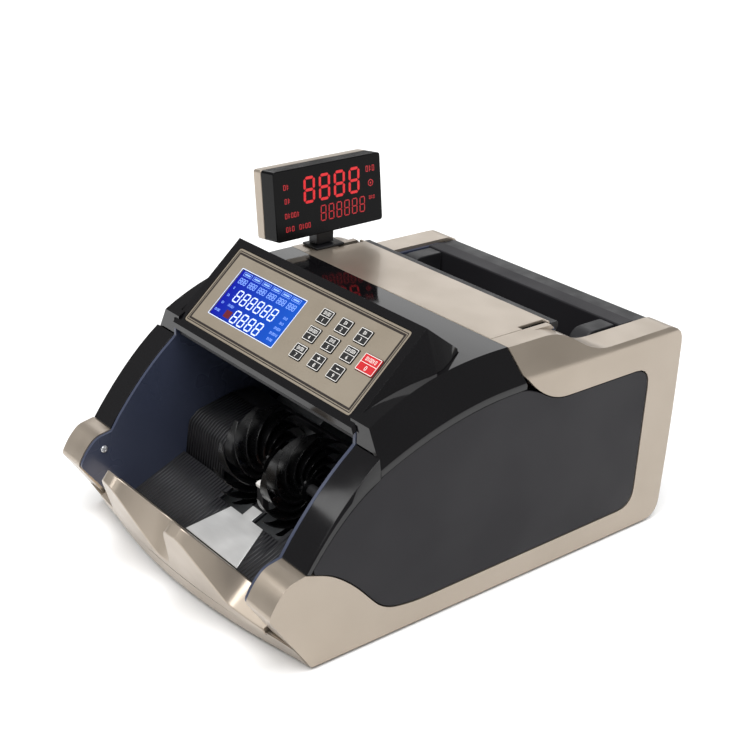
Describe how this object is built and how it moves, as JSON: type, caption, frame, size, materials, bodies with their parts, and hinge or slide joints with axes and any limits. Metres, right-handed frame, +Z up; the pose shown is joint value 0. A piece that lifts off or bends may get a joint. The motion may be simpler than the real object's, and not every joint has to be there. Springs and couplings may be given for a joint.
{
  "type": "banknote counter",
  "caption": "Desktop banknote counter: gold and black casing, rear hopper, paddle-wheel stacker, keypad hood with LCD, and a swivelling customer display.",
  "frame": {"origin": "centre of the overall box at the bottom of the rubber feet", "axes": "+X to the machine's right, +Y from the stacker at the front to the back panel, +Z up"},
  "size_m": [0.26, 0.3649, 0.2365],
  "materials": {
    "shell_gold": "satin champagne-gold metallic paint on moulded plastic",
    "gloss_black": "piano black gloss plastic",
    "matte_black": "fine textured black plastic",
    "side_grey": "dark grey fine texture",
    "smoked": "smoked blue-grey, smooth",
    "steel": "polished sheet steel",
    "zinc": "zinc plated steel",
    "rubber": "black rubber",
    "brown_rubber": "brown retard rubber",
    "pad_metal": "satin champagne overlay with a dark double line",
    "key_black": "black key with white outline",
    "key_red": "red key with white outline",
    "lcd": "lit blue liquid crystal display",
    "board": "green circuit board"
  },
  "bodies": {
    "chassis": {"side_shell_left": "shell_gold", "side_shell_right": "shell_gold", "top_cover": "shell_gold", "note_stop": "shell_gold", "front_bumper": "shell_gold", "top_shell": "gloss_black", "side_arm_left": "gloss_black", "side_arm_right": "gloss_black", "keypad_housing": "gloss_black", "stacker_floor": "matte_black", "stacker_back": "matte_black", "stacker_hood": "matte_black", "hopper_chute": "matte_black", "sensor_bridge": "matte_black", "path_guide": "matte_black", "rear_panel": "matte_black", "mains_inlet": "matte_black", "display_socket": "matte_black", "side_panel_left": "side_grey", "side_panel_right": "side_grey", "hopper_rear_bar": "side_grey", "side_plate_left": "smoked", "side_plate_right": "smoked", "stacker_plate": "steel", "drive_motor": "zinc", "base_pan": "zinc", "power_supply": "zinc", "drive_belt": "rubber", "foot_front_left": "rubber", "foot_front_right": "rubber", "foot_rear_left": "rubber", "foot_rear_right": "rubber", "keypad_plate": "pad_metal", "lcd_module": "lcd", "main_board": "board"},
    "stacker_rotor": {"stacker_shaft": "steel", "paddle_wheel_left": "rubber", "paddle_wheel_right": "rubber", "stacker_pulley": "zinc"},
    "feed_rotor": {"feed_roller": "rubber"},
    "pickup_rotor": {"pickup_roller": "rubber"},
    "pinch_rotor": {"pinch_roller": "brown_rubber"},
    "motor_rotor": {"motor_pulley": "zinc"},
    "guide_left": {"hopper_guide_left": "matte_black"},
    "guide_right": {"hopper_guide_right": "matte_black"},
    "display_mast": {"display_post": "matte_black"},
    "display_head": {"display_bezel": "gloss_black", "display_shell": "shell_gold"},
    "door": {"rear_door": "matte_black"},
    "rocker": {"power_switch": "gloss_black"},
    "button_0": {"key_0": "key_red"},
    "button_1": {"key_1": "key_black"},
    "button_2": {"key_2": "key_black"},
    "button_3": {"key_3": "key_black"},
    "button_4": {"key_4": "key_black"},
    "button_5": {"key_5": "key_black"},
    "button_6": {"key_6": "key_black"},
    "button_7": {"key_7": "key_black"},
    "button_8": {"key_8": "key_black"},
    "button_9": {"key_9": "key_black"}
  },
  "joints": [
    {"name": "feed_spin", "type": "hinge", "parent": "chassis", "child": "feed_rotor", "pos_m": [0, 0.05826, 0.0945], "axis": [1, 0, 0], "continuous": true},
    {"name": "stacker_spin", "type": "hinge", "parent": "chassis", "child": "stacker_rotor", "pos_m": [0, -0.06774, 0.0595], "axis": [1, 0, 0], "continuous": true},
    {"name": "pickup_spin", "type": "hinge", "parent": "chassis", "child": "pickup_rotor", "pos_m": [0, 0.10026, 0.1005], "axis": [1, 0, 0], "continuous": true},
    {"name": "pinch_spin", "type": "hinge", "parent": "chassis", "child": "pinch_rotor", "pos_m": [0, 0.05826, 0.1309], "axis": [1, 0, 0], "continuous": true},
    {"name": "motor_spin", "type": "hinge", "parent": "chassis", "child": "motor_rotor", "pos_m": [0, 0.01226, 0.0425], "axis": [1, 0, 0], "continuous": true},
    {"name": "guide_right_slide", "type": "slide", "parent": "chassis", "child": "guide_right", "axis": [-1, 0, 0], "range_m": [0, 0.03]},
    {"name": "guide_left_slide", "type": "slide", "parent": "chassis", "child": "guide_left", "axis": [1, 0, 0], "range_m": [0, 0.03]},
    {"name": "display_swivel", "type": "hinge", "parent": "chassis", "child": "display_mast", "pos_m": [-0.109, 0.04426, 0.1711], "axis": [0, 0, 1], "range_deg": [-92, 90]},
    {"name": "display_tilt", "type": "hinge", "parent": "display_mast", "child": "display_head", "pos_m": [-0.109, 0.04426, 0.187], "axis": [-0.0349, 0.9994, 0], "range_deg": [-12, 12]},
    {"name": "rear_door_hinge", "type": "hinge", "parent": "chassis", "child": "door", "pos_m": [0, 0.17826, 0.0565], "axis": [-1, 0, 0], "range_deg": [0, 82]},
    {"name": "power_rocker", "type": "hinge", "parent": "chassis", "child": "rocker", "pos_m": [-0.034, 0.17426, 0.0305], "axis": [1, 0, 0], "range_deg": [0, 7]},
    {"name": "press_key_0", "type": "slide", "parent": "chassis", "child": "button_0", "axis": [0, 0.6704, -0.742], "range_m": [0, 0.0008], "stiffness_N_per_m": 400, "springref_m": -0.0006},
    {"name": "press_key_1", "type": "slide", "parent": "chassis", "child": "button_1", "axis": [0, 0.6704, -0.742], "range_m": [0, 0.0008], "stiffness_N_per_m": 400, "springref_m": -0.0006},
    {"name": "press_key_2", "type": "slide", "parent": "chassis", "child": "button_2", "axis": [0, 0.6704, -0.742], "range_m": [0, 0.0008], "stiffness_N_per_m": 400, "springref_m": -0.0006},
    {"name": "press_key_3", "type": "slide", "parent": "chassis", "child": "button_3", "axis": [0, 0.6704, -0.742], "range_m": [0, 0.0008], "stiffness_N_per_m": 400, "springref_m": -0.0006},
    {"name": "press_key_4", "type": "slide", "parent": "chassis", "child": "button_4", "axis": [0, 0.6704, -0.742], "range_m": [0, 0.0008], "stiffness_N_per_m": 400, "springref_m": -0.0006},
    {"name": "press_key_5", "type": "slide", "parent": "chassis", "child": "button_5", "axis": [0, 0.6704, -0.742], "range_m": [0, 0.0008], "stiffness_N_per_m": 400, "springref_m": -0.0006},
    {"name": "press_key_6", "type": "slide", "parent": "chassis", "child": "button_6", "axis": [0, 0.6704, -0.742], "range_m": [0, 0.0008], "stiffness_N_per_m": 400, "springref_m": -0.0006},
    {"name": "press_key_7", "type": "slide", "parent": "chassis", "child": "button_7", "axis": [0, 0.6704, -0.742], "range_m": [0, 0.0008], "stiffness_N_per_m": 400, "springref_m": -0.0006},
    {"name": "press_key_8", "type": "slide", "parent": "chassis", "child": "button_8", "axis": [0, 0.6704, -0.742], "range_m": [0, 0.0008], "stiffness_N_per_m": 400, "springref_m": -0.0006},
    {"name": "press_key_9", "type": "slide", "parent": "chassis", "child": "button_9", "axis": [0, 0.6704, -0.742], "range_m": [0, 0.0008], "stiffness_N_per_m": 400, "springref_m": -0.0006}
  ],
  "couplings": [
    {"joint": "feed_spin", "follows": "motor_spin", "ratio": 0.5},
    {"joint": "stacker_spin", "follows": "motor_spin", "ratio": 0.57143},
    {"joint": "pickup_spin", "follows": "motor_spin", "ratio": 0.66667},
    {"joint": "pinch_spin", "follows": "motor_spin", "ratio": -0.64516},
    {"joint": "guide_left_slide", "follows": "guide_right_slide", "ratio": 1}
  ]
}
